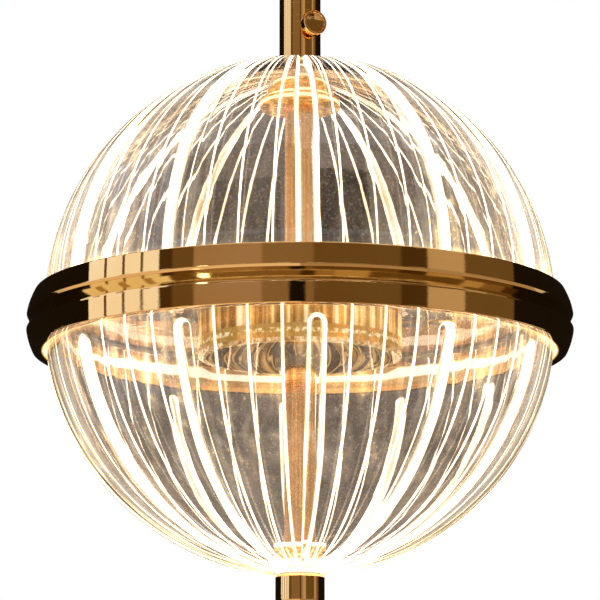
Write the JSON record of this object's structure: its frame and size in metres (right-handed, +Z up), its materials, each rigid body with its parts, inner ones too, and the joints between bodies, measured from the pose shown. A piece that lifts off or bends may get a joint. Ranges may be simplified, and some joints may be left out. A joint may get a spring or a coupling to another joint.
{
  "type": "globe ceiling chandelier",
  "caption": "Clear fluted globe in a stepped gold band, lit from inside the band, on a telescoping gold stem with a lock screw and a swivel in a round ceiling canopy.",
  "frame": {"origin": "centre of the ceiling face, on top of the bracket", "axes": "+Z up into the ceiling, -Y towards the front of the lamp, +X to the right seen from the front"},
  "size_m": [0.2146, 0.2146, 0.3016],
  "materials": {
    "gold_band": "mirror polished",
    "gold_stem": "mirror polished",
    "gold_canopy": "plated, polished",
    "gold_hub": "plated, polished",
    "mirror_plate": "mirror polished",
    "clear_dome": "clear polished",
    "lit_diffuser": "opal",
    "light_chip": "phosphor",
    "strip_board": "satin",
    "clear_gasket": "satin",
    "zinc_steel": "zinc plated",
    "driver_case": "moulded",
    "terminal_white": "moulded",
    "lead_sheath": "satin"
  },
  "bodies": {
    "ceiling": {"ceiling_bracket": "zinc_steel", "ceiling_canopy": "gold_canopy", "canopy_screws": "gold_canopy", "led_driver": "driver_case", "terminal_block": "terminal_white"},
    "swivel": {"swivel_seat": "gold_stem"},
    "drop": {"swivel_ball": "gold_stem", "swivel_nut": "zinc_steel", "drop_rod": "gold_stem", "supply_lead": "lead_sheath"},
    "lock": {"lock_screw": "gold_stem"},
    "finial": {"finial": "gold_stem"},
    "globe": {"upper_band_ring": "gold_band", "band_core": "gold_band", "lower_band_ring": "gold_band", "stem_sleeve": "gold_stem", "centre_tube": "gold_stem", "upper_collar": "gold_stem", "lower_collar": "gold_stem", "hub_drum": "gold_hub", "hub_lid": "gold_hub", "equator_plate": "mirror_plate", "upper_dome": "clear_dome", "lower_dome": "clear_dome", "upper_diffuser": "lit_diffuser", "lower_diffuser": "lit_diffuser", "upper_light_chips": "light_chip", "lower_light_chips": "light_chip", "upper_light_board": "strip_board", "lower_light_board": "strip_board", "upper_rim_gasket": "clear_gasket", "lower_rim_gasket": "clear_gasket", "stem_gasket": "clear_gasket", "finial_gasket": "clear_gasket", "plate_nuts": "zinc_steel", "hub_nut": "zinc_steel", "plate_screws": "zinc_steel", "hub_screws": "zinc_steel", "splice_block": "terminal_white", "strip_leads": "lead_sheath"}
  },
  "joints": [
    {"name": "seat_turn", "type": "hinge", "parent": "ceiling", "child": "swivel", "pos_m": [0, 0, -0.03], "axis": [0, 0, 1], "range_deg": [-170, 170]},
    {"name": "stem_swing", "type": "hinge", "parent": "swivel", "child": "drop", "pos_m": [0, 0, -0.03], "axis": [0, 1, 0], "range_deg": [-20, 20]},
    {"name": "height_slide", "type": "slide", "parent": "drop", "child": "globe", "axis": [0, 0, 1], "range_m": [-0.04, 0]},
    {"name": "lock_screw_turn", "type": "hinge", "parent": "globe", "child": "lock", "pos_m": [0, 0, -0.067], "axis": [0.4617, -0.887, 0], "continuous": true},
    {"name": "finial_turn", "type": "hinge", "parent": "globe", "child": "finial", "pos_m": [0, 0, -0.29], "axis": [0, 0, 1], "continuous": true}
  ]
}
